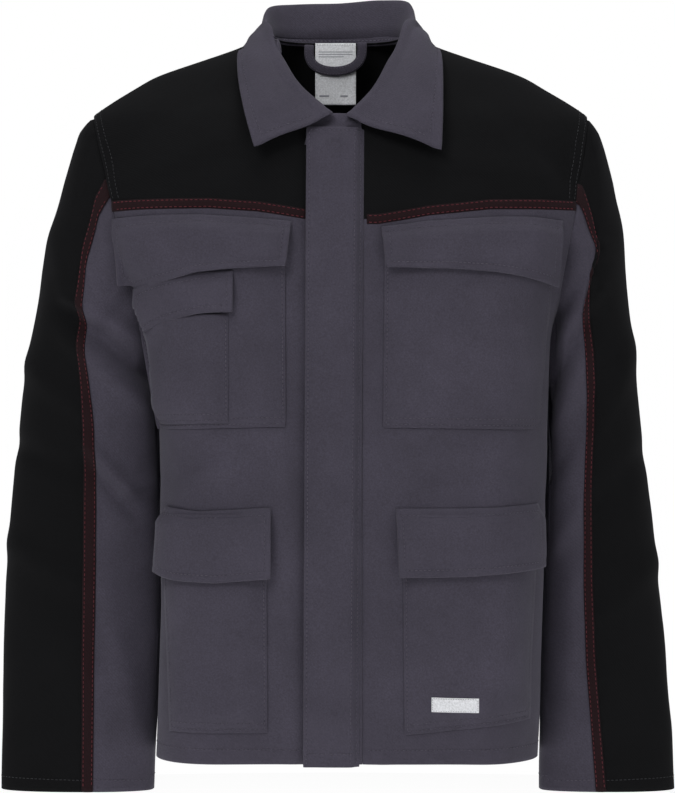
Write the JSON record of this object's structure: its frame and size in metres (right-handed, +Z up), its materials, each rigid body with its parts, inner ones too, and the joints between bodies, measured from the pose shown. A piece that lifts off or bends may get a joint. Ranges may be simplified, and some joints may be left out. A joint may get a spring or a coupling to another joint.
{
  "type": "welding jacket",
  "caption": "Long-sleeved work jacket with a fold-down collar, contrast yoke and sleeves, a press-stud front placket, flapped patch pockets and a hanging loop.",
  "frame": {"origin": "the wearer's neck: on the centre line, level with the back neck seam, half way through the jacket's depth", "axes": "+Z up, the jacket's front faces -Y, the wearer's left is +X"},
  "size_m": [0.6906, 0.2611, 0.8127],
  "materials": {
    "grey_cloth": "dark purplish grey twill",
    "black_cloth": "black twill",
    "maroon_tape": "dark maroon band with red stitching",
    "white_label": "woven label",
    "snap_metal": "dark lacquered press stud"
  },
  "bodies": {
    "torso": {"back_panel": "grey_cloth", "back_yoke": "black_cloth", "back_yoke_tape": "maroon_tape", "collar_leaf": "grey_cloth", "collar_stand": "grey_cloth", "left_chest_pocket": "grey_cloth", "left_front_facing": "grey_cloth", "left_front_panel": "grey_cloth", "left_front_yoke": "black_cloth", "left_lower_pocket": "grey_cloth", "left_yoke_tape": "maroon_tape", "phone_pocket": "grey_cloth", "placket_snap_studs": "snap_metal", "pocket_label": "white_label", "pocket_snap_studs": "snap_metal", "right_chest_pocket": "grey_cloth", "right_front_facing": "grey_cloth", "right_front_panel": "grey_cloth", "right_front_yoke": "black_cloth", "right_lower_pocket": "grey_cloth", "right_yoke_tape": "maroon_tape"},
    "placket": {"front_placket_inner": "grey_cloth", "front_placket_outer": "grey_cloth", "placket_snap_sockets": "snap_metal"},
    "right_chest_flap": {"right_chest_flap": "grey_cloth", "right_chest_flap_socket": "snap_metal"},
    "left_chest_flap": {"left_chest_flap": "grey_cloth", "left_chest_flap_socket": "snap_metal"},
    "right_lower_flap": {"right_lower_flap": "grey_cloth", "right_lower_flap_socket": "snap_metal"},
    "left_lower_flap": {"left_lower_flap": "grey_cloth", "left_lower_flap_socket": "snap_metal"},
    "phone_flap": {"phone_flap": "grey_cloth"},
    "right_sleeve": {"right_sleeve_outer": "black_cloth", "right_sleeve_under": "grey_cloth", "right_sleeve_tape": "maroon_tape"},
    "left_sleeve": {"left_sleeve_outer": "black_cloth", "left_sleeve_under": "grey_cloth", "left_sleeve_tape": "maroon_tape"},
    "care_label": {"care_label": "white_label"},
    "hanger_loop": {"hanger_loop": "grey_cloth"}
  },
  "joints": [
    {"name": "placket_open", "type": "hinge", "parent": "torso", "child": "placket", "pos_m": [0.027, -0.1365, -0.42], "axis": [0, 0, 1], "range_deg": [0, 100]},
    {"name": "right_chest_flap_lift", "type": "hinge", "parent": "torso", "child": "right_chest_flap", "pos_m": [-0.135, -0.135, -0.19], "axis": [-1, 0, 0], "range_deg": [0, 150]},
    {"name": "left_chest_flap_lift", "type": "hinge", "parent": "torso", "child": "left_chest_flap", "pos_m": [0.135, -0.1351, -0.193], "axis": [-1, 0, 0], "range_deg": [0, 150]},
    {"name": "right_lower_flap_lift", "type": "hinge", "parent": "torso", "child": "right_lower_flap", "pos_m": [-0.115, -0.14017, -0.479], "axis": [-1, 0, 0], "range_deg": [0, 150]},
    {"name": "left_lower_flap_lift", "type": "hinge", "parent": "torso", "child": "left_lower_flap", "pos_m": [0.125, -0.14019, -0.477], "axis": [-1, 0, 0], "range_deg": [0, 150]},
    {"name": "phone_flap_lift", "type": "hinge", "parent": "torso", "child": "phone_flap", "pos_m": [-0.147, -0.1446, -0.259], "axis": [-0.9879, 0, -0.1554], "range_deg": [0, 80]},
    {"name": "care_label_lift", "type": "hinge", "parent": "torso", "child": "care_label", "pos_m": [-0.002, 0.0497, -0.0015], "axis": [-1, 0, 0], "range_deg": [0, 70]},
    {"name": "hanger_loop_lift", "type": "hinge", "parent": "care_label", "child": "hanger_loop", "pos_m": [-0.002, 0.0478, -0.0015], "axis": [-1, 0, 0], "range_deg": [0, 70]},
    {"name": "right_shoulder", "type": "hinge", "parent": "torso", "child": "right_sleeve", "pos_m": [-0.2475, 0, -0.079], "axis": [0, 1, 0], "range_deg": [0, 55]},
    {"name": "left_shoulder", "type": "hinge", "parent": "torso", "child": "left_sleeve", "pos_m": [0.2515, 0, -0.085], "axis": [0, -1, 0], "range_deg": [0, 55]}
  ]
}
